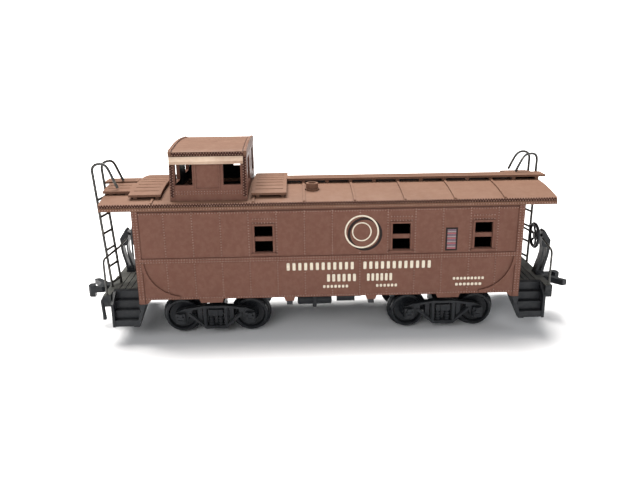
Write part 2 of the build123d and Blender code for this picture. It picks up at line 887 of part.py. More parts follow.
def build_railing(name, end, stand_x, knees):
    """Two bent wires from the end beam's corners to the brake stand.

    knees are the points the far wire passes so that it clears the ladder and the brake wheel.
    """
    stand_half = 1.35
    bend = 1.4
    shoulder = railing_height - 0.6
    with BuildPart() as railing:
        for sign, between in ((-1, ()), (1, knees)):
            stand_y = -brake_y + sign * stand_half
            post_foot = (railing_foot_x, sign * railing_foot_y, floor_top)
            post_top = (railing_foot_x, sign * railing_foot_y, shoulder)
            with BuildLine() as path:
                FilletPolyline(
                    post_foot, post_top, *between, (stand_x, stand_y, railing_height), radius=bend
                )
            with BuildSketch(Plane(origin=path.line @ 0, z_dir=path.line % 0)):
                Circle(railing_radius)
            sweep(path=path.line)
    if end < 0:
        save(half_turn(railing), name)
    else:
        save(railing, name)


def build_brake_stand(name, end, stand_x):
    """Pedestal with two curved legs and a head that carries the brake wheel's shaft."""
    thickness = 2.6
    side = Plane.XZ.offset(brake_y)
    x = stand_x
    with BuildPart() as stand:
        with BuildSketch(side):
            # Outline of both legs together with the slanting head
            with BuildLine():
                Polyline((x - 0.3, 23.6), (x - 0.3, 27.0), (x + 0.3, 27.4), (x + 2.2, 24.5), (x + 2.1, 22.8))
                Spline((x + 2.1, 22.8), (x + 1.9, 19.6), (x + 1.0, 15.4), (x + 0.9, floor_top))
                Line((x + 0.9, floor_top), (x - 1.4, floor_top))
                Spline((x - 1.4, floor_top), (x - 1.1, 16.2), (x - 0.4, 18.6), (x - 0.3, 23.6))
            make_face()
            # Gap between the legs
            with BuildLine():
                Polyline((x + 0.4, 22.4), (x + 1.4, 22.4))
                Spline((x + 1.4, 22.4), (x + 1.2, 19.4), (x + 0.3, 15.8), (x + 0.2, 15.4))
                Line((x + 0.2, 15.4), (x - 0.7, 15.4))
                Spline((x - 0.7, 15.4), (x - 0.2, 17.0), (x + 0.3, 19.4), (x + 0.4, 22.4))
            make_face(mode=Mode.SUBTRACT)
        extrude(amount=thickness / 2, both=True)
        with BuildSketch(Plane.XY.offset(floor_top)):
            with Locations((x - 0.2, -brake_y)):
                Rectangle(2.4, 3.3)
        extrude(amount=0.6)
        with BuildSketch(Plane.YZ.offset(x - 3)):
            with Locations((-brake_y, brake_shaft_height)):
                Circle(brake_shaft_radius + running_clearance)
        extrude(amount=4.0, mode=Mode.SUBTRACT)
    if end < 0:
        save(half_turn(stand), name)
    else:
        save(stand, name)


def build_brake_wheel(name, end, stand_x):
    """Spoked hand wheel on the inward side of its stand; its shaft turns in the stand's bore."""
    wheel_x = stand_x - 2.2
    rim_radius = 0.42
    spoke_radius = 0.3
    spokes = 6
    with BuildPart() as wheel:
        rim_plane = Plane(
            origin=(wheel_x, -brake_y, brake_shaft_height + brake_wheel_radius - rim_radius),
            x_dir=(1, 0, 0),
            z_dir=(0, 1, 0),
        )
        with BuildSketch(rim_plane):
            Circle(rim_radius)
        revolve(axis=Axis((wheel_x, -brake_y, brake_shaft_height), (1, 0, 0)), revolution_arc=360)
        hub = Plane.YZ.offset(wheel_x - 0.2)
        with BuildSketch(hub):
            with Locations((-brake_y, brake_shaft_height)):
                Circle(0.85)
        extrude(amount=1.1)
        with BuildSketch(hub):
            with Locations((-brake_y, brake_shaft_height)):
                Circle(brake_shaft_radius)
        extrude(amount=3.0)
        for k in range(spokes):
            angle = radians(360 / spokes * k + 12)
            reach = brake_wheel_radius - rim_radius
            start = (wheel_x + 0.45, -brake_y, brake_shaft_height)
            aim = (-0.45, reach * cos(angle), reach * sin(angle))
            with BuildSketch(Plane(origin=start, z_dir=aim)):
                Circle(spoke_radius)
            extrude(amount=hypot(reach, 0.45))
    if end < 0:
        save(half_turn(wheel), name)
    else:
        save(wheel, name)


def build_air_hose():
    """Hose that hangs from a bracket at one end of the end beam."""
    hose_y = 13.6
    hose_x = beam_outer
    hose_bottom = 7.6
    hose_radius = 0.5
    bend = 0.8
    with BuildPart() as hose_b:
        with BuildLine() as path:
            FilletPolyline(
                (hose_x + 0.05, hose_y, 12.5),
                (hose_x + 1.0, hose_y, 12.5),
                (hose_x + 0.65, hose_y + 0.3, hose_bottom),
                radius=bend,
            )
        with BuildSketch(Plane(origin=path.line @ 0, z_dir=path.line % 0)):
            Circle(hose_radius)
        sweep(path=path.line)
        with Locations((hose_x + 0.65, hose_y + 0.3, hose_bottom - 0.4)):
            Box(0.85, 0.8, 1.1)
        with Locations((hose_x + 0.35, hose_y, 12.5)):
            Box(0.6, 1.7, 1.7)
    save(hose_b, "air_hose_b")
    save(half_turn(hose_b), "air_hose_a")


# --- Trucks (drawn round the truck's own centre, then set in place) -------------------------------



def build_truck(name, centre_x):
    with BuildPart() as truck:
        for sign in (-1, 1):
            face = Plane.XZ.offset(sign * side_frame_inner)
            depth = side_frame_outer - side_frame_inner
            with BuildSketch(face):
                with BuildLine():
                    Polyline(
                        (centre_x - 11.0, 7.5),
                        (centre_x - 8.2, 8.6),
                        (centre_x - 2.7, 9.4),
                        (centre_x + 2.7, 9.4),
                        (centre_x + 8.2, 8.6),
                        (centre_x + 11.0, 7.5),
                        (centre_x + 11.0, 4.2),
                        (centre_x + 8.2, 4.2),
                        (centre_x + 7.3, 6.3),
                        (centre_x + 3.0, 2.6),
                        (centre_x - 3.0, 2.6),
                        (centre_x - 7.3, 6.3),
                        (centre_x - 8.2, 4.2),
                        (centre_x - 11.0, 4.2),
                        close=True,
                    )
                make_face()
                # Openings between the column, the chord and the brace
                for side in (-1, 1):
                    with BuildLine():
                        Polyline(
                            (centre_x + side * 3.5, 4.3),
                            (centre_x + side * 6.6, 7.0),
                            (centre_x + side * 6.4, 8.1),
                            (centre_x + side * 3.5, 8.55),
                            close=True,
                        )
                    make_face(mode=Mode.SUBTRACT)
                with Locations((centre_x, 6.1)):
                    Rectangle(4.7, 5.2, mode=Mode.SUBTRACT)
            extrude(amount=sign * depth)
            # Flange round the side frame's edge: chord, braces and columns
            with BuildSketch(Plane.XZ.offset(sign * side_frame_outer)):
                with Locations((centre_x, 9.05)):
                    Rectangle(6.0, 0.7)
                with Locations((centre_x, 3.0)):
                    Rectangle(5.8, 0.8)
                for side in (-1, 1):
                    with BuildLine():
                        Polyline(
                            (centre_x + side * 2.9, 9.4),
                            (centre_x + side * 8.0, 8.65),
                            (centre_x + side * 8.0, 8.1),
                            (centre_x + side * 2.9, 8.8),
                            close=True,
                        )
                    make_face()
                    with BuildLine():
                        Polyline(
                            (centre_x + side * 2.8, 2.6),
                            (centre_x + side * 7.4, 6.5),
                            (centre_x + side * 7.2, 7.3),
                            (centre_x + side * 2.8, 3.4),
                            close=True,
                        )
                    make_face()
                    with Locations((centre_x + side * 2.9, 6.1)):
                        Rectangle(0.7, 6.2)
            extrude(amount=sign * 0.4)
            # Bolster end over a pair of coil springs
            with BuildSketch(face):
                with Locations((centre_x, 7.3)):
                    Rectangle(4.0, 1.7)
            extrude(amount=sign * (depth + 0.2))
            with BuildSketch(Plane.XZ.offset(sign * side_frame_outer)):
                with Locations((centre_x, 7.3)):
                    Rectangle(1.3, 1.9)
            extrude(amount=sign * 0.5)
            for spring_x in (centre_x - 1.3, centre_x + 1.3):
                for turn in range(4):
                    with Locations((spring_x, -sign * 11.7, 3.85 + 0.85 * turn)):
                        Cylinder(0.85, 0.5)
                with Locations((spring_x, -sign * 11.7, 4.95)):
                    Cylinder(0.6, 3.4)
            # Strut that ties the bolster to the side frame
            with BuildSketch(face):
                with Locations((centre_x, 5.0)):
                    Rectangle(0.8, 3.6)
            extrude(amount=sign * depth / 2)
            # Brake shoes hang behind the side frame, inside the wheels' span
            for side in (-1, 1):
                with Locations((centre_x + side * 4.4, -sign * 11.5, 6.3)):
                    Box(1.2, 1.2, 4.6)
            # Journal boxes
            for axle in (-1, 1):
                box_x = centre_x + axle * wheelbase / 2
                with BuildSketch(Plane.XZ.offset(sign * side_frame_outer)):
                    with Locations((box_x, 5.9)):
                        RectangleRounded(2.7, 3.0, 0.3)
                extrude(amount=sign * (journal_face - side_frame_outer))
                with BuildSketch(Plane.XZ.offset(sign * journal_face)):
                    with Locations((box_x, 5.6)):
                        RectangleRounded(2.0, 1.8, 0.3)
                    with Locations((box_x, 6.9)):
                        Rectangle(1.1, 0.9)
                extrude(amount=sign * 0.35)
                # Lid's rib
                with BuildSketch(Plane.XZ.offset(sign * (journal_face + 0.35))):
                    with Locations((box_x, 5.5)):
                        Rectangle(1.2, 0.4)
                extrude(amount=sign * 0.2)
        # Bolster with its centre plate
        with BuildSketch(Plane.XY.offset(6.2)):
            with Locations((centre_x, 0)):
                Rectangle(4.0, 2 * side_frame_inner)
        extrude(amount=2.4)
        with BuildSketch(Plane.XY.offset(8.6)):
            with Locations((centre_x, 0)):
                Circle(2.8)
        extrude(amount=0.85)
        with BuildSketch(Plane.XY.offset(2)):
            with Locations((centre_x, 0)):
                Circle(1.22 + running_clearance)
        extrude(amount=10, mode=Mode.SUBTRACT)
        # Blind bearings for the axle ends
        bearing_depth = 12.5
        for axle in (-1, 1):
            with BuildSketch(Plane.XZ):
                with Locations((centre_x + axle * wheelbase / 2, axle_height)):
                    Circle(journal_radius + running_clearance)
            extrude(amount=bearing_depth, both=True, mode=Mode.SUBTRACT)
    save(truck, name)


def build_kingpin(name, centre_x):
    with BuildPart() as pin:
        with BuildSketch(Plane.XY.offset(5.2)):
            with Locations((centre_x, 0)):
                Circle(2.0)
        extrude(amount=0.9)
        with BuildSketch(Plane.XY.offset(5.2)):
            with Locations((centre_x, 0)):
                Rectangle(5, 0.5)
        extrude(amount=0.4, mode=Mode.SUBTRACT)
        with BuildSketch(Plane.XY.offset(6.0)):
            with Locations((centre_x, 0)):
                Circle(1.22)
        extrude(amount=6.9)
    save(pin, name)


def build_wheelset(number, axle_x):
    journal_end = 12.3
    with BuildPart() as axle:
        with BuildSketch(Plane.XZ):
            with Locations((axle_x, axle_height)):
                Circle(axle_radius)
        extrude(amount=10.5, both=True)
        with BuildSketch(Plane.XZ):
            with Locations((axle_x, axle_height)):
                Circle(journal_radius)
        extrude(amount=journal_end, both=True)
    save(axle, f"axle_{number}")

    with BuildPart() as wheels:
        for sign in (-1, 1):
            back = sign * wheel_back
            front = sign * (wheel_back + wheel_width)
            tread_edge = sign * (wheel_back + flange_width)
            hub_front = sign * (wheel_back + wheel_width + 0.15)
            web_back = sign * (wheel_back + 0.9)
            web_front = sign * (wheel_back + 1.9)
            section = Plane(origin=(axle_x, 0, axle_height), x_dir=(0, 1, 0), z_dir=(1, 0, 0))
            with BuildSketch(section):
                with BuildLine():
                    Polyline(
                        (back, axle_radius),
                        (back, 1.7),
                        (web_back, 2.1),
                        (web_back, 3.7),
                        (back, 4.1),
                        (back, flange_radius - 0.25),
                        (back + sign * 0.2, flange_radius),
                        (back + sign * 0.45, flange_radius),
                        (tread_edge, tread_radius + 0.1),
                        (front - sign * 0.2, tread_radius),
                        (front, tread_radius - 0.2),
                        (front, 4.05),
                        (web_front, 3.7),
                        (web_front - sign * 0.15, 2.2),
                        (hub_front, 1.5),
                        (hub_front, axle_radius),
                        close=True,
                    )
                make_face()
            revolve(axis=Axis((axle_x, 0, axle_height), (0, 1, 0)), revolution_arc=360)
    save(wheels, f"wheels_{number}")


# --- Assembly -------------------------------------------------------------------------------------


build_body()
build_roof()
build_cupola()
build_roof_walks()
build_smoke_jack()
build_floor()
build_platforms()
build_coupler()
build_steps()
build_ladder("ladder_a", -1, 24, 59.9, 2.0, 48.9, (4.6, 6.3), 0.45)
build_ladder("ladder_b", 1, -14, 60.85, 0.3, 47.6, (7.1, 6.1), 0.0)
build_railing("end_railing_a", -1, brake_stand_x_a, [(58.6, 5.3, 24.8)])
build_railing("end_railing_b", 1, brake_stand_x_b, [(59.6, 8.8, 24.8)])
build_brake_stand("brake_stand_a", -1, brake_stand_x_a)
build_brake_stand("brake_stand_b", 1, brake_stand_x_b)
build_brake_wheel("brake_wheel_a", -1, brake_stand_x_a)
build_brake_wheel("brake_wheel_b", 1, brake_stand_x_b)
build_air_hose()
build_truck("truck_frame_a", -truck_x)
build_truck("truck_frame_b", truck_x)
build_kingpin("kingpin_a", -truck_x)
build_kingpin("kingpin_b", truck_x)
axle_places = [end * truck_x + half * wheelbase / 2 for end in (-1, 1) for half in (-1, 1)]
for index, place in enumerate(axle_places):
    build_wheelset(index + 1, place)
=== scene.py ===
"""Looks of the HO-gauge model caboose: materials, rivets, printed marks and light round the CAD parts."""

import json
import math

import bpy
from mathutils import Matrix, Vector
from mathutils.bvhtree import BVHTree


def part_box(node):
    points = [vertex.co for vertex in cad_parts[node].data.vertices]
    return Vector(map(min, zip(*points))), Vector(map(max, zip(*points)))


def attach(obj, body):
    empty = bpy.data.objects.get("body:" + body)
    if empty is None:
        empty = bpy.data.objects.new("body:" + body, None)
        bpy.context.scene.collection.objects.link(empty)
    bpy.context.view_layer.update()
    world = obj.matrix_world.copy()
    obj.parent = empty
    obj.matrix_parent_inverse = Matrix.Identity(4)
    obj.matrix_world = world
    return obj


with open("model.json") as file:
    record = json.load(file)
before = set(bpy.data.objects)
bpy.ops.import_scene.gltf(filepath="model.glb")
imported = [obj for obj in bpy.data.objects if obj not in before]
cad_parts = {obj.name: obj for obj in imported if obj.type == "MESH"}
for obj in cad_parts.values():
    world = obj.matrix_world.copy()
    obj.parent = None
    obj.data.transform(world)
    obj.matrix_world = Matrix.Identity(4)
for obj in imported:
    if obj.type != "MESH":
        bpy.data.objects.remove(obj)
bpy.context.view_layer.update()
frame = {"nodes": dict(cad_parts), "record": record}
nodes = frame["nodes"]

MM = 0.001

# --- Node helpers ---------------------------------------------------------------------------------


class Tree:
    """A short way to write a material's node tree; lengths inside it are in metres."""

    def __init__(self, name):
        self.material = bpy.data.materials.new(name)
        self.material.use_nodes = True
        self.tree = self.material.node_tree
        self.shader = self.tree.nodes["Principled BSDF"]
        self.place = self.add("ShaderNodeTexCoord").outputs["Object"]

    def add(self, kind, **settings):
        """A new node; settings that start with in_ go to the input of that name."""
        node = self.tree.nodes.new(kind)
        for key, value in settings.items():
            if key.startswith("in_"):
                node.inputs[key[3:].replace("_", " ")].default_value = value
            else:
                setattr(node, key, value)
        return node

    def link(self, output, target):
        self.tree.links.new(output, target)

    def noise(self, scale, detail, stretch=(1, 1, 1)):
        spread = self.add("ShaderNodeMapping")
        spread.inputs["Scale"].default_value = stretch
        self.link(self.place, spread.inputs["Vector"])
        node = self.add("ShaderNodeTexNoise", in_Scale=scale, in_Detail=detail, in_Roughness=0.55)
        self.link(spread.outputs["Vector"], node.inputs["Vector"])
        return node.outputs["Fac"]

    def ramp(self, value, low, high, out_low=0.0, out_high=1.0):
        """Carry value smoothly from the range low..high to out_low..out_high."""
        node = self.add("ShaderNodeMapRange", clamp=True)
        node.interpolation_type = "SMOOTHSTEP"
        node.inputs["From Min"].default_value = low
        node.inputs["From Max"].default_value = high
        node.inputs["To Min"].default_value = out_low
        node.inputs["To Max"].default_value = out_high
        self.link(value, node.inputs["Value"])
        return node.outputs["Result"]

    def put(self, value, socket):
        """Give an input a link, a number or a colour."""
        if isinstance(value, bpy.types.NodeSocket):
            self.link(value, socket)
        elif isinstance(value, (int, float)):
            socket.default_value = value
        else:
            socket.default_value = (*value, 1)

    def mix(self, factor, first, second):
        """The first colour where factor is 0, the second where it is 1."""
        node = self.add("ShaderNodeMix", data_type="RGBA")
        self.put(factor, node.inputs["Factor"])
        self.put(first, node.inputs["A"])
        self.put(second, node.inputs["B"])
        return node.outputs["Result"]

    def math(self, operation, first, second=None):
        node = self.add("ShaderNodeMath", operation=operation)
        self.put(first, node.inputs[0])
        if second is not None:
            self.put(second, node.inputs[1])
        return node.outputs[0]

    def times(self, first, second):
        return self.math("MULTIPLY", first, second)

    def upward(self):
        """How far a surface faces up, from 0 to 1."""
        geometry = self.add("ShaderNodeNewGeometry")
        split = self.add("ShaderNodeSeparateXYZ")
        self.link(geometry.outputs["Normal"], split.inputs["Vector"])
        return split.outputs["Z"]

    def bump(self, height, strength, distance):
        node = self.add("ShaderNodeBump")
        node.inputs["Strength"].default_value = strength
        node.inputs["Distance"].default_value = distance
        self.link(height, node.inputs["Height"])
        self.link(node.outputs["Normal"], self.shader.inputs["Normal"])

    def specular(self, level):
        self.shader.inputs["Specular IOR Level"].default_value = level

    def finish(self, colour, roughness):
        self.put(colour, self.shader.inputs["Base Color"])
        self.put(roughness, self.shader.inputs["Roughness"])
        return self.material


GRAIN_DEPTH = 0.00003
RECESS_REACH = 0.00035
# Painted shade for the hollows inside the car
HOLLOW_SHADE_BLACK = (0.004, 0.004, 0.004)


def plastic(name, colour, dark, pale_colour, dust_amount, roughness, specular=0.12, inside=None):
    """Moulded plastic: uneven tone, fine eggshell grain, painted shade in the recesses from ambient
    occlusion, and dusty where it faces up.

    inside is (x from, x to, half width at the ground, inward lean); within it, the plastic is painted
    black as shade in the hollow car.
    """
    t = Tree(name)
    broad = t.ramp(t.noise(90, 5), 0.3, 0.7)
    fine = t.ramp(t.noise(900, 3), 0.35, 0.7)
    tone = t.mix(broad, dark, colour)
    tone = t.mix(t.times(fine, 0.18), tone, pale_colour)
    settled = t.times(t.ramp(t.upward(), 0.25, 0.95), t.ramp(t.noise(220, 6), 0.3, 0.75, 0.45, 1.0))
    tone = t.mix(t.times(settled, dust_amount), tone, pale_colour)
    # Painted shade: ambient occlusion darkens the colour in recesses, beside rivets and trims
    recess = t.add("ShaderNodeAmbientOcclusion", samples=6, in_Distance=RECESS_REACH)
    recess_shade = [value * 0.22 for value in dark]
    tone = t.mix(t.ramp(recess.outputs["AO"], 0.3, 0.9, 0.7, 0.0), tone, recess_shade)
    # Painted shade: the inner faces of the hollow car are painted black
    if inside:
        x_from, x_to, half, lean = inside
        split = t.add("ShaderNodeSeparateXYZ")
        t.link(t.place, split.inputs["Vector"])
        after = t.math("GREATER_THAN", split.outputs["X"], x_from)
        before = t.math("LESS_THAN", split.outputs["X"], x_to)
        reach = t.math("ADD", t.math("ABSOLUTE", split.outputs["Y"]), t.times(split.outputs["Z"], lean))
        between = t.math("LESS_THAN", reach, half)
        tone = t.mix(t.times(t.times(after, before), between), tone, HOLLOW_SHADE_BLACK)
    rough = t.ramp(t.noise(300, 4), 0.3, 0.7, roughness - 0.07, roughness + 0.1)
    t.bump(t.noise(2600, 2), 0.25, 0.00004)
    t.specular(specular)
    return t.finish(tone, rough)


def wire_metal(name, colour, worn):
    """Blackened wire with pale rubbed patches."""
    t = Tree(name)
    patch = t.ramp(t.noise(700, 5), 0.5, 0.72)
    t.shader.inputs["Metallic"].default_value = 0.35
    t.bump(t.noise(4000, 2), 0.2, GRAIN_DEPTH)
    return t.finish(t.mix(patch, colour, worn), t.ramp(patch, 0, 1, 0.38, 0.55))


def turned_steel(name):
    """Steel with fine turning marks."""
    t = Tree(name)
    marks = t.noise(2500, 3, stretch=(1, 0.05, 1))
    t.shader.inputs["Metallic"].default_value = 1.0
    t.bump(marks, 0.2, GRAIN_DEPTH)
    return t.finish(t.mix(t.ramp(marks, 0.3, 0.7), (0.30, 0.30, 0.29), (0.52, 0.52, 0.50)), 0.34)


def ink(name, colour, rubbed):
    """Printed paint, slightly broken over the grain."""
    t = Tree(name)
    worn = t.ramp(t.noise(1500, 5), 0.45, 0.75)
    t.bump(t.noise(3000, 2), 0.15, GRAIN_DEPTH)
    t.specular(0.12)
    return t.finish(t.mix(t.times(worn, 0.22), colour, rubbed), 0.55)


def worn_and_highlit_plastic(name, colour, pale_colour):
    """Plastic painted paler for rivet heads, partly as wear from handling and partly as a painted
    highlight.
    """
    t = Tree(name)
    t.bump(t.noise(2600, 2), 0.2, GRAIN_DEPTH)
    t.specular(0.3)
    return t.finish(t.mix(t.ramp(t.noise(500, 4), 0.3, 0.7), colour, pale_colour), 0.4)


BROWN = (0.130, 0.058, 0.041)
BROWN_DARK = (0.119, 0.052, 0.036)
BROWN_DUST = (0.21, 0.115, 0.085)
ROOF_BROWN = (0.135, 0.068, 0.044)
ROOF_DARK = (0.122, 0.060, 0.038)
ROOF_DUST = (0.20, 0.122, 0.085)
BLACK = (0.014, 0.016, 0.019)
CREAM = (0.62, 0.56, 0.45)
VISOR = (0.44, 0.31, 0.23)
VISOR_DARK = (0.33, 0.21, 0.15)
VISOR_DUST = (0.62, 0.52, 0.41)
BLACK_DARK = (0.008, 0.009, 0.012)
BLACK_DUST = (0.05, 0.05, 0.048)
PLATFORM = (0.022, 0.023, 0.025)
PLATFORM_DUST = (0.13, 0.13, 0.115)
WHEEL = (0.013, 0.015, 0.018)
WHEEL_DARK = (0.007, 0.008, 0.010)
WHEEL_DUST = (0.04, 0.04, 0.04)

# Hollows painted black as shade, in metres
BODY_INSIDE = (-0.0505, 0.0505, 0.0153, 0.0)
CUPOLA_INSIDE = (-0.04043, -0.02237, 0.018886, 0.12195)

materials = {
    "body": plastic("brown_plastic", BROWN, BROWN_DARK, BROWN_DUST, 0.5, 0.46, inside=BODY_INSIDE),
    "roof": plastic("roof_plastic", ROOF_BROWN, ROOF_DARK, ROOF_DUST, 0.35, 0.55),
    "visor": plastic("visor_plastic", VISOR, VISOR_DARK, VISOR_DUST, 0.7, 0.6),
    "black_plastic": plastic("black_plastic", BLACK, BLACK_DARK, BLACK_DUST, 0.25, 0.36, 0.2),
    "platform": plastic("platform_plastic", PLATFORM, BLACK, PLATFORM_DUST, 0.85, 0.5, 0.15),
    "wire": wire_metal("dark_wire", (0.035, 0.035, 0.032), (0.12, 0.11, 0.095)),
    "steel": turned_steel("turned_steel"),
    "wheel": plastic("wheel_plastic", WHEEL, WHEEL_DARK, WHEEL_DUST, 0.2, 0.3, 0.2),
}
INK = ink("cream_print", CREAM, BROWN)
SHADOW_INK = ink("shadow_print", (0.016, 0.011, 0.010), (0.03, 0.02, 0.017))

CUPOLA_WALL = plastic("cupola_plastic", BROWN, BROWN_DARK, BROWN_DUST, 0.5, 0.46, inside=CUPOLA_INSIDE)
# Painted shade: dark strips that stand for the shade in the fascia and rim channels
CHANNEL_SHADE = plastic("channel_shade_plastic", (0.036, 0.013, 0.008), (0.026, 0.009, 0.006), BROWN_DARK, 0.1, 0.6)
# Painted shadow under the eave ledge, along the top of each wall
EAVE_SHADOW = plastic("eave_shadow_plastic", (0.060, 0.027, 0.019), (0.045, 0.020, 0.014), BROWN_DARK, 0.1, 0.6)
# Rivet heads are painted paler than the wall: partly handling wear, partly painted highlight
RIVET = worn_and_highlit_plastic("rivet_plastic", (0.185, 0.100, 0.076), (0.27, 0.160, 0.125))
ROOF_RIVET = worn_and_highlit_plastic("roof_rivet_plastic", (0.21, 0.110, 0.078), (0.30, 0.175, 0.130))

slot_of = {row["node"]: row["material_slot"] for row in frame["record"]["subparts"]}
for name, node in nodes.items():
    node.data.materials.clear()
    node.data.materials.append(CUPOLA_WALL if name == "cupola_shell" else materials[slot_of[name]])

# --- Mesh helpers ---------------------------------------------------------------------------------


def piece(name, mesh, material, body):
    """Link a finished mesh as a piece that rides on a CAD body."""
    obj = bpy.data.objects.new(name, mesh)
    bpy.context.scene.collection.objects.link(obj)
    obj.data.materials.append(material)
    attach(obj, body)


RIVET_RADIUS = 0.19 * MM
SMALL_RIVET = 0.15 * MM
RIVET_RISE = 0.15 * MM
RIVET_SIDES = 8
RIVET_RINGS = ((1.0, -0.25), (0.92, 0.35), (0.55, 0.85))  # radius and height, as shares of the whole


def rivet_mesh(name, places, size=RIVET_RADIUS):
    """Low domes; places holds (point, outward normal) pairs in metres."""
    mesh = bpy.data.meshes.new(name)
    points, faces = [], []
    for centre, normal in places:
        turn = Vector((0, 0, 1)).rotation_difference(Vector(normal)).to_matrix()
        base = len(points)
        for radius, rise in RIVET_RINGS:
            for k in range(RIVET_SIDES):
                angle = 2 * math.pi * k / RIVET_SIDES
                spot = Vector((math.cos(angle) * radius * size, math.sin(angle) * radius * size, 0))
                spot.z = rise * RIVET_RISE
                points.append(Vector(centre) + turn @ spot)
        points.append(Vector(centre) + turn @ Vector((0, 0, RIVET_RISE)))
        top_ring = base + (len(RIVET_RINGS) - 1) * RIVET_SIDES
        tip = top_ring + RIVET_SIDES
        for first in range(base, top_ring, RIVET_SIDES):
            for k in range(RIVET_SIDES):
                a = first + k
                b = first + (k + 1) % RIVET_SIDES
                faces.append((a, b, b + RIVET_SIDES, a + RIVET_SIDES))
        for k in range(RIVET_SIDES):
            faces.append((top_ring + k, top_ring + (k + 1) % RIVET_SIDES, tip))
        faces.append(tuple(base + k for k in reversed(range(RIVET_SIDES))))
    mesh.from_pydata([tuple(p) for p in points], [], faces)
    for polygon in mesh.polygons:
        polygon.use_smooth = True
    return mesh


def row(start, end, pitch):
    """Evenly spaced points from start to end, in millimetres."""
    start, end = Vector(start), Vector(end)
    count = max(1, round((end - start).length / pitch))
    return [start.lerp(end, k / count) for k in range(count + 1)]


# A block's corners are counted by bits: 1 for x, 2 for y, 4 for z
BOX_FACES = ((0, 2, 3, 1), (4, 5, 7, 6), (0, 1, 5, 4), (2, 6, 7, 3), (0, 4, 6, 2), (1, 3, 7, 5))
STRIP_RISE = 0.03
STRIP_SINK = 0.05
ABOVE, BESIDE = 80.0, 40.0  # clear of the car


def strip_mesh(name, strips):
    """Thin flat blocks, each given by its eight corners in millimetres."""
    mesh = bpy.data.meshes.new(name)
    points, faces = [], []
    for corners in strips:
        base = len(points)
        points += [tuple(Vector(corner) * MM) for corner in corners]
        faces += [[base + k for k in face] for face in BOX_FACES]
    mesh.from_pydata(points, [], faces)
    return mesh


def both_sides(x_from, x_to, y, z_from, z_to, top_y=None):
    """The same thin strip on either side of the car, y from the middle; top_y is y at the strip's top."""
    pair = []
    for sign in (-1, 1):
        corners = []
        for k in range(8):
            high = k & 4
            wall = top_y if high and top_y is not None else y
            outer = bool(k & 2) == (sign > 0)
            depth = wall + (STRIP_RISE if outer else -STRIP_SINK)
            corners.append((x_to if k & 1 else x_from, sign * depth, z_to if high else z_from))
        pair.append(corners)
    return pair


def surface(node):
    """A node's own surface, for setting small pieces on it."""
    mesh = nodes[node].data
    place = nodes[node].matrix_world
    return BVHTree.FromPolygons([place @ v.co for v in mesh.vertices], [p.vertices for p in mesh.polygons])


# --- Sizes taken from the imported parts, in millimetres ---------------------------------------------


def extent(node):
    """A node's lowest and highest corners in millimetres."""
    low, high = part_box(node)
    return [value / MM for value in low], [value / MM for value in high]


body_high = extent("body_shell")[1]
roof_high = extent("roof")[1]
cupola_low, cupola_high = extent("cupola_shell")
lid_low, lid_high = extent("cupola_roof")

TRIM = 0.22  # how far belts and frames stand off the wall
half_length = body_high[0] - TRIM
half_width = body_high[1] - 2 * TRIM
windows = (-17.55, 18.95, 40.95)
WINDOW_HALF, WINDOW_LOW, WINDOW_HIGH = 3.1, 25.0, 33.9  # with the frame
seams = [0.6 + 7.35 * k for k in range(-6, 7)]

SPACING = 0.73  # between rivets on the walls
STAGGER_PITCH = 0.7  # between rivets in the dark channels
STAGGER = STAGGER_PITCH / 2

# Printed rows of plain bars: x from, x to, height above the floor, bar height, count, gap
PRINT_ROWS = (
    (-11.7, 6.3, 21.6, 2.1, 12, 0.75),
    (8.9, 27.1, 21.6, 2.1, 12, 0.75),
    (-0.9, 6.9, 18.2, 2.1, 6, 0.6),
    (9.9, 16.7, 18.2, 2.1, 6, 0.5),
    (-2.0, 4.8, 15.75, 0.8, 7, 0.35),
    (12.4, 18.1, 15.75, 0.8, 6, 0.35),
    (33.3, 41.8, 17.3, 0.75, 9, 0.3),
    (34.0, 41.2, 15.6, 0.75, 7, 0.3),
)
BAR_MARGIN = 0.4
RING_X, RING_Z, RING_RADIUS = 8.4, 31.0, 4.55
RING_MARGIN = 0.7

# --- Rivets ---------------------------------------------------------------------------------------


def near_window(x, z):
    """Whether a rivet would stand on a window or its frame."""
    return any(abs(x - centre) < WINDOW_HALF for centre in windows) and WINDOW_LOW < z < WINDOW_HIGH


def near_print(x, z):
    """Whether a rivet would stand in the print, where the wall is kept flat."""
    if math.hypot(x - RING_X, z - RING_Z) < RING_RADIUS + RING_MARGIN:
        return True
    return any(
        x_from - BAR_MARGIN < x < x_to + BAR_MARGIN and abs(z - middle) < height / 2 + BAR_MARGIN
        for x_from, x_to, middle, height, _, _ in PRINT_ROWS
    )


def side_rivets():
    """Points (x, z, stand-off from the wall) on one long side."""
    points = []
    for x in seams:
        for p in row((x, 0, 25.2), (x, 0, 37.0), SPACING):
            points.append((x, p.z, 0.0))
        for p in row((x, 0, 13.9), (x, 0, 22.9), SPACING):
            points.append((x, p.z, 0.0))
    edge = half_length - 1.9
    for z, rise in ((13.3, 0.0), (23.62, TRIM), (24.28, TRIM), (36.8, 0.0)):
        points += [(p.x, z, rise) for p in row((-edge, 0, 0), (edge, 0, 0), SPACING)]
    for x in (half_length - 1.25, half_length - 0.4):
        for sign in (-1, 1):
            points += [(sign * x, p.z, TRIM) for p in row((0, 0, 13.4), (0, 0, 37.3), SPACING)]
    for centre in windows:
        for z in (33.95, 35.0):
            points += [(p.x, z, 0.0) for p in row((centre - 2.7, 0, 0), (centre + 2.7, 0, 0), SPACING)]
    return [p for p in points if not near_window(p[0], p[1])]


places = []
for sign in (-1, 1):
    for x, z, rise in side_rivets():
        if not near_print(-sign * x, z):
            spot = (x * MM, sign * (half_width + rise) * MM, z * MM)
            places.append((spot, (0, sign, 0)))
piece("side_rivets", rivet_mesh("side_rivets", places), RIVET, "car_body")

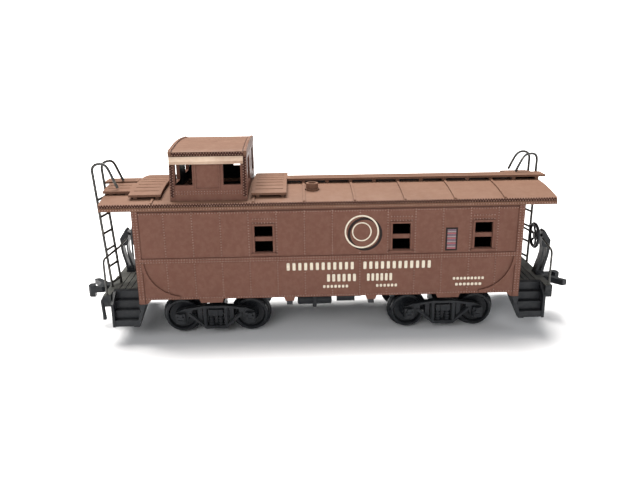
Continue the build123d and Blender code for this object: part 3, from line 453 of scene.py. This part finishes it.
places = []
for sign in (-1, 1):
    # Two rows by each corner, one beside the door
    for y, low, top in ((half_width - 0.5, 15.0, 37.2), (half_width - 1.6, 15.0, 37.2), (5.4, 16.5, 35.6)):
        for side in (-1, 1):
            for p in row((0, 0, low), (0, 0, top), SPACING):
                places.append(((sign * half_length * MM, side * y * MM, p.z * MM), (sign, 0, 0)))
    # Level rows, broken by the door
    for z in (24.4, 37.0):
        for p in row((0, -half_width + 2.2, 0), (0, half_width - 2.2, 0), SPACING):
            if abs(p.y) > 6.0:
                places.append(((sign * half_length * MM, p.y * MM, z * MM), (sign, 0, 0)))
piece("end_rivets", rivet_mesh("end_rivets", places), RIVET, "car_body")

# --- Painted shade in the channels, with staggered rivets, along the roof's fascia and the cupola's ---

FASCIA_Y = 16.5
roof_half = roof_high[0] - 0.3
# Painted shade in the roof fascia's channel
channel_shade_strips = both_sides(-roof_half, roof_half, FASCIA_Y, 38.68, 39.42)
piece("eave_channel_shade", strip_mesh("eave_channel_shade", channel_shade_strips), CHANNEL_SHADE, "car_body")
eave_rows = ((38.82, FASCIA_Y, 0.0), (39.34, FASCIA_Y, STAGGER), (38.15, roof_high[1], 0.15))
places = []
for sign in (-1, 1):
    for z, y, shift in eave_rows:
        for p in row((-roof_half + shift, 0, 0), (roof_half - STAGGER + shift, 0, 0), STAGGER_PITCH):
            places.append(((p.x * MM, sign * y * MM, z * MM), (0, sign, 0)))
piece("eave_rivets", rivet_mesh("eave_rivets", places), ROOF_RIVET, "car_body")

# Painted shadow under the eave: a dark strip between the roof and the top of each wall
shade_strips = both_sides(-half_length + 0.2, half_length - 0.2, half_width, 37.1, 37.38)
piece("eave_shadow_strips", strip_mesh("eave_shadow_strips", shade_strips), EAVE_SHADOW, "car_body")

lid_y = lid_high[1] - 0.1
# Painted shade in the channel along the cupola lid's fascia
channel_shade_strips = both_sides(lid_low[0] + 0.8, lid_high[0] - 0.8, lid_y, lid_low[2] + 0.1, lid_low[2] + 1.05)
piece("cupola_channel_shade", strip_mesh("cupola_channel_shade", channel_shade_strips), CHANNEL_SHADE, "car_body")
places = []
for sign in (-1, 1):
    for z, shift in ((lid_low[2] + 0.3, 0.0), (lid_low[2] + 0.82, STAGGER)):
        first = lid_low[0] + 1.1 + shift
        last = lid_high[0] - 1.45 + shift
        for p in row((first, 0, 0), (last, 0, 0), STAGGER_PITCH):
            places.append(((p.x * MM, sign * lid_y * MM, z * MM), (0, sign, 0)))

# Both rims follow the lid's arch
lid_surface = surface("cupola_roof")
rim_half = lid_high[1] - 0.25
rim_stops = [p.y for p in row((0, -rim_half, 0), (0, rim_half, 0), STAGGER_PITCH)]


def on_lid(x, y):
    """Where the lid lies at x and y, and which way it faces."""
    point, normal, _, _ = lid_surface.ray_cast(Vector((x, y, ABOVE)) * MM, Vector((0, 0, -1)))
    return tuple(point), tuple(normal)


for x in (lid_low[0] + 0.4, lid_high[0] - 0.4):
    places += [on_lid(x, y) for y in rim_stops]
mesh = rivet_mesh("cupola_eave_rivets", places, SMALL_RIVET)
piece("cupola_eave_rivets", mesh, ROOF_RIVET, "car_body")

# A dark strip of painted shade runs beside each rim, over the arch
near, far = 0.82, 1.08
shade_strips = []
for x_from, x_to in ((lid_low[0] + near, lid_low[0] + far), (lid_high[0] - far, lid_high[0] - near)):
    arch = [(y, on_lid(x_from, y)[0][2] / MM) for y in rim_stops]
    for start, end in zip(arch, arch[1:]):
        corners = []
        for k in range(8):
            y, z = end if k & 2 else start
            corners.append((x_to if k & 1 else x_from, y, z + (STRIP_RISE if k & 4 else -STRIP_SINK)))
        shade_strips.append(corners)
piece("cupola_rim_shade", strip_mesh("cupola_rim_shade", shade_strips), CHANNEL_SHADE, "car_body")

# The cupola's sides lean, so what stands on them is set on their surface
wall_surface = surface("cupola_shell")


def on_wall(x, z, sign):
    """Where the cupola's side lies at x and z, and which way it faces."""
    point, normal, _, _ = wall_surface.ray_cast(Vector((x, sign * BESIDE, z)) * MM, Vector((0, -sign, 0)))
    return tuple(point), tuple(normal)


strip_low, strip_top = 40.9, 51.0
# Painted shade strips along the cupola's riveted corners
channel_shade_strips = []
for x in (cupola_low[0] + 0.6, cupola_high[0] - 0.6):
    foot_y, top_y = (on_wall(x, z, 1)[0][1] / MM for z in (strip_low, strip_top))
    channel_shade_strips += both_sides(x - 0.45, x + 0.45, foot_y, strip_low, strip_top, top_y)
piece("cupola_corner_channel_shade", strip_mesh("cupola_corner_channel_shade", channel_shade_strips), CHANNEL_SHADE, "car_body")
corner_rows = (
    (cupola_low[0] + 0.3, 0.0),
    (cupola_low[0] + 0.9, STAGGER),
    (cupola_high[0] - 0.9, STAGGER),
    (cupola_high[0] - 0.3, 0.0),
)
foot_edges = (cupola_low[0] + 1.6, 0, 0), (cupola_high[0] - 1.6, 0, 0)
places = []
for sign in (-1, 1):
    for x, shift in corner_rows:
        heights = [p.z for p in row((x, 0, 41.0 + shift), (x, 0, 50.5 + shift), STAGGER_PITCH)]
        places += [on_wall(x, z, sign) for z in heights]
    for z in (41.7, 42.3):
        places += [on_wall(p.x, z, sign) for p in row(*foot_edges, SPACING)]
piece("cupola_rivets", rivet_mesh("cupola_rivets", places, SMALL_RIVET), RIVET, "car_body")

# --- Printed marks: plain bars and a plain ring, no letters or figures ------------------------------

PRINT_THICKNESS = 0.03


def print_mesh(name, outlines, side, depth=0.0):
    """Thin raised pieces on one long side; an outline is a list of (x, z) loops, the later ones holes."""
    curve = bpy.data.curves.new(name, "CURVE")
    curve.dimensions = "2D"
    curve.fill_mode = "BOTH"
    curve.extrude = PRINT_THICKNESS / 2 * MM
    for loops in outlines:
        for loop in loops:
            spline = curve.splines.new("POLY")
            spline.points.add(len(loop) - 1)
            spline.use_cyclic_u = True
            for point, (x, z) in zip(spline.points, loop):
                point.co = (x * MM, z * MM, 0, 1)
    holder = bpy.data.objects.new(name, curve)
    turn = Matrix.Rotation(math.pi / 2, 4, "X")
    if side > 0:
        turn = Matrix.Rotation(math.pi, 4, "Z") @ turn
    face = half_width + PRINT_THICKNESS / 2 + depth
    shift = Matrix.Translation((0, side * face * MM, 0))
    mesh = bpy.data.meshes.new_from_object(holder)
    mesh.name = name
    mesh.transform(shift @ turn)
    bpy.data.objects.remove(holder)
    return mesh


def bar(x, z, width, height, corner):
    """A rounded bar's outline round its middle."""
    corner = min(corner, width / 2.01, height / 2.01)
    loop = []
    for cx, cz, first in ((1, 1, 0), (-1, 1, 90), (-1, -1, 180), (1, -1, 270)):
        for k in range(4):
            angle = math.radians(first + 30 * k)
            px = cx * (width / 2 - corner) + corner * math.cos(angle)
            pz = cz * (height / 2 - corner) + corner * math.sin(angle)
            loop.append((x + px, z + pz))
    return [loop]


def ring(x, z, outer, inner):
    """A flat ring's two outlines."""
    angles = [2 * math.pi * k / 48 for k in range(48)]

    def loop(radius):
        return [(x + radius * math.cos(angle), z + radius * math.sin(angle)) for angle in angles]

    return [loop(outer), loop(inner)]


def bars(x_from, x_to, z, height, count, gap):
    """A row of upright bars that fills the space from x_from to x_to."""
    width = (x_to - x_from + gap) / count - gap
    return [bar(x_from + width / 2 + k * (width + gap), z, width, height, 0.25) for k in range(count)]


cream = [bar_loops for print_row in PRINT_ROWS for bar_loops in bars(*print_row)]
cream += [ring(RING_X, RING_Z, RING_RADIUS, RING_RADIUS - 0.4), ring(RING_X, RING_Z, 2.6, 2.3)]
dark = [ring(RING_X + 0.85, RING_Z - 0.65, 4.6, 3.9)]

for side, label in ((-1, "right"), (1, "left")):
    # The far side carries the same print, read from its own left to right
    mesh = print_mesh("print_" + label, cream, side)
    piece("print_" + label, mesh, INK, "car_body")
    mesh = print_mesh("print_shadow_" + label, dark, side, -PRINT_THICKNESS / 3)
    piece("print_shadow_" + label, mesh, SHADOW_INK, "car_body")

# A small framed panel of plain coloured stripes
panel_x, panel_low, panel_high = 32.4, 25.4, 31.6
panel_outline = bar(panel_x, (panel_low + panel_high) / 2, 3.2, 6.4, 0.05)
panel_edge = 0.35
stripe_count = 12
tints = {"pink": (0.30, 0.10, 0.11), "pale": (0.24, 0.20, 0.20), "slate": (0.16, 0.11, 0.14)}
stripes_of = {tint: [] for tint in tints}
for k in range(stripe_count):
    z = panel_low + panel_edge + (panel_high - panel_low - 2 * panel_edge) * (k + 0.5) / stripe_count
    stripes_of[list(tints)[k % len(tints)]].append(bar(panel_x, z, 2.3, 0.36, 0.03))
tint_inks = {tint: ink("print_" + tint, colour, BROWN) for tint, colour in tints.items()}
for side, label in ((-1, "right"), (1, "left")):
    mesh = print_mesh("panel_frame_" + label, [panel_outline], side)
    piece("panel_frame_" + label, mesh, SHADOW_INK, "car_body")
    for tint, outlines in stripes_of.items():
        mesh = print_mesh(f"panel_{tint}_{label}", outlines, side, PRINT_THICKNESS)
        piece(f"panel_{tint}_{label}", mesh, tint_inks[tint], "car_body")

# --- Floor, light and camera ----------------------------------------------------------------------

floor = bpy.data.meshes.new("floor")
floor.from_pydata([(-3, -2, 0), (3, -2, 0), (3, 4, 0), (-3, 4, 0)], [], [(0, 1, 2, 3)])
floor_object = bpy.data.objects.new("floor", floor)
bpy.context.scene.collection.objects.link(floor_object)

# White paper that fades into the background away from the car
paper = Tree("paper")
grain = paper.ramp(paper.noise(9, 5), 0.3, 0.7)
paper.bump(paper.noise(400, 4), 0.05, 0.0002)
paper.shader.inputs["Emission Color"].default_value = (1, 1, 1, 1)
distance = paper.add("ShaderNodeVectorMath", operation="LENGTH")
paper.link(paper.place, distance.inputs[0])
glow = paper.ramp(distance.outputs["Value"], 0.11, 0.4, 0.0, 1.0)
paper.link(glow, paper.shader.inputs["Emission Strength"])
floor.materials.append(paper.finish(paper.mix(grain, (0.84, 0.84, 0.85), (0.88, 0.88, 0.89)), 0.7))

AIM = Vector((0, 0, 0.02))


def lamp(name, place, size, power, colour=(1, 1, 1)):
    """A soft rectangular lamp turned to the car."""
    data = bpy.data.lights.new(name, "AREA")
    data.shape = "RECTANGLE"
    data.size, data.size_y = size
    data.energy = power
    data.color = colour
    obj = bpy.data.objects.new(name, data)
    obj.location = place
    obj.rotation_euler = (AIM - Vector(place)).to_track_quat("-Z", "Y").to_euler()
    bpy.context.scene.collection.objects.link(obj)


lamp("overhead", (-0.08, 0.16, 0.55), (0.5, 0.3), 9.5, (1.0, 0.98, 0.95))
lamp("front", (-0.25, -0.65, 0.40), (0.6, 0.3), 2.4)
lamp("side", (0.6, -0.25, 0.3), (0.3, 0.3), 1.3, (0.95, 0.97, 1.0))

# The sky is dim as a light and white as a background
world = bpy.data.worlds.new("studio")
world.use_nodes = True
sky = world.node_tree.nodes["Background"]
sky.inputs["Color"].default_value = (0.96, 0.98, 1.0, 1)
seen = world.node_tree.nodes.new("ShaderNodeLightPath")
strength = world.node_tree.nodes.new("ShaderNodeMapRange")
strength.inputs["To Min"].default_value = 0.2
strength.inputs["To Max"].default_value = 1.3
world.node_tree.links.new(seen.outputs["Is Camera Ray"], strength.inputs["Value"])
world.node_tree.links.new(strength.outputs["Result"], sky.inputs["Strength"])
bpy.context.scene.world = world
bpy.context.scene.view_settings.view_transform = "Standard"

# The camera's place in millimetres, and its turns in radians
CAMERA_PLACE = Vector((-7.85, -178.3, 78.23))
YAW, PITCH, ROLL = 0.0318, 0.2950, -0.0107
forward = Vector((math.sin(YAW) * math.cos(PITCH), math.cos(YAW) * math.cos(PITCH), -math.sin(PITCH)))
level = Vector((math.cos(YAW), -math.sin(YAW), 0))
upright = level.cross(forward)
right = math.cos(ROLL) * level + math.sin(ROLL) * upright
above = -math.sin(ROLL) * level + math.cos(ROLL) * upright
camera_data = bpy.data.cameras.new("camera")
camera_data.lens = 36.01
camera_data.sensor_width = 36
camera_data.clip_start = 0.01
camera = bpy.data.objects.new("camera", camera_data)
bpy.context.scene.collection.objects.link(camera)
turn = Matrix((right, above, -forward)).transposed().to_4x4()
camera.matrix_world = Matrix.Translation(CAMERA_PLACE * MM) @ turn
bpy.context.scene.camera = camera
